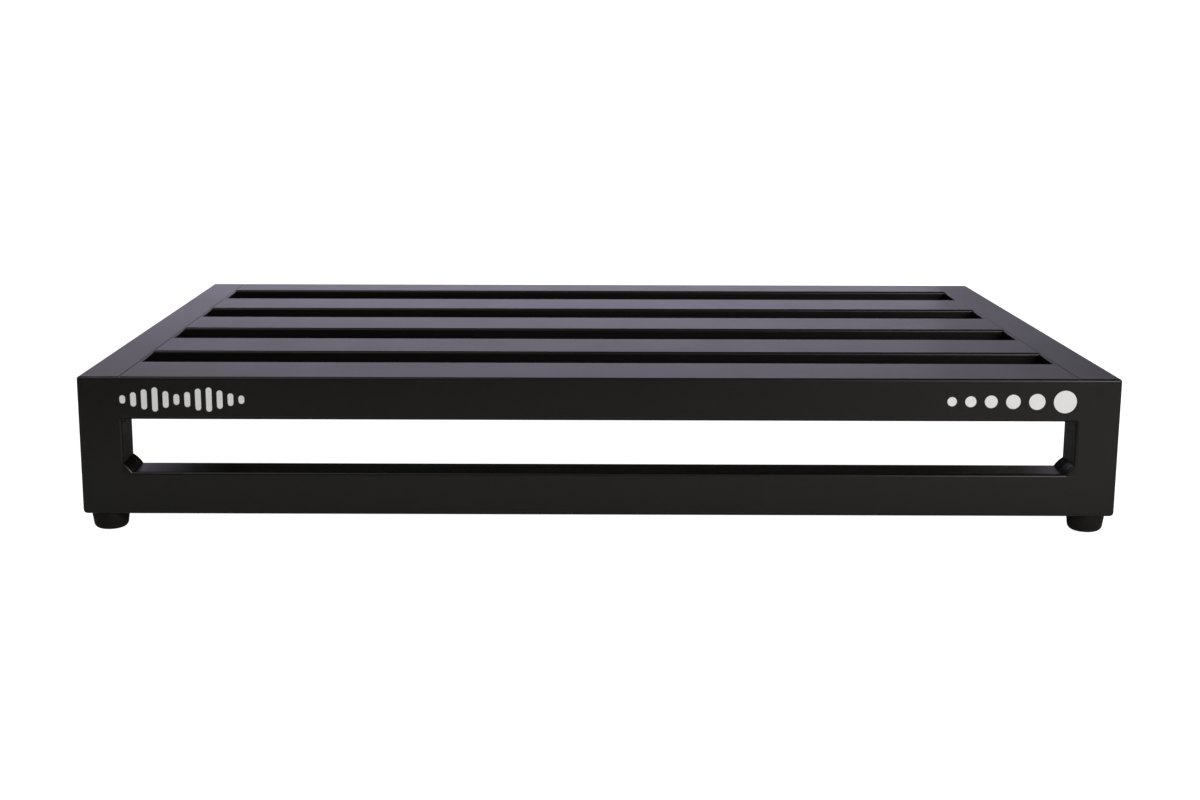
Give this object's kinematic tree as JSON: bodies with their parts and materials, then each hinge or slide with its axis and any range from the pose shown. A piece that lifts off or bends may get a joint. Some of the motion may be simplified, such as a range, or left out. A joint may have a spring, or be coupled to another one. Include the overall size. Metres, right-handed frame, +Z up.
{
  "type": "pedalboard",
  "caption": "Welded box-tube pedalboard: a ladder deck of flat cross rails on a raised rear frame with one long window, sloping down to the player, on rubber feet.",
  "frame": {"origin": "on the floor, below the middle of the board's outer box", "axes": "+X to the viewer's right when facing the tall rear side, +Y from the tall rear side to the low player's side, +Z up from the floor"},
  "size_m": [0.6096, 0.4138, 0.0948],
  "materials": {
    "black_powder_coat": "satin",
    "weld_powder_coat": "satin",
    "foot_rubber": "matte",
    "zinc_steel": "satin",
    "rivet_nut_steel": "satin",
    "white_ink": "satin"
  },
  "bodies": {
    "root": {"rear_rail": "black_powder_coat", "second_rail": "black_powder_coat", "middle_rail": "black_powder_coat", "fourth_rail": "black_powder_coat", "front_rail": "black_powder_coat", "riser_crossbar": "black_powder_coat", "left_mark": "white_ink", "right_mark": "white_ink", "left_side_rail": "black_powder_coat", "left_rear_end_plate": "black_powder_coat", "left_front_end_plate": "black_powder_coat", "left_riser_post": "black_powder_coat", "left_deck_top_welds": "weld_powder_coat", "left_deck_underside_welds": "weld_powder_coat", "left_window_welds": "weld_powder_coat", "left_post_top_welds": "weld_powder_coat", "rear_left_foot": "foot_rubber", "rear_left_foot_washer": "zinc_steel", "rear_left_foot_screw": "zinc_steel", "rear_left_rivet_nut": "rivet_nut_steel", "front_left_foot": "foot_rubber", "front_left_foot_washer": "zinc_steel", "front_left_foot_screw": "zinc_steel", "front_left_rivet_nut": "rivet_nut_steel", "right_side_rail": "black_powder_coat", "right_rear_end_plate": "black_powder_coat", "right_front_end_plate": "black_powder_coat", "right_riser_post": "black_powder_coat", "right_deck_top_welds": "weld_powder_coat", "right_deck_underside_welds": "weld_powder_coat", "right_window_welds": "weld_powder_coat", "right_post_top_welds": "weld_powder_coat", "rear_right_foot": "foot_rubber", "rear_right_foot_washer": "zinc_steel", "rear_right_foot_screw": "zinc_steel", "rear_right_rivet_nut": "rivet_nut_steel", "front_right_foot": "foot_rubber", "front_right_foot_washer": "zinc_steel", "front_right_foot_screw": "zinc_steel", "front_right_rivet_nut": "rivet_nut_steel"}
  },
  "joints": []
}
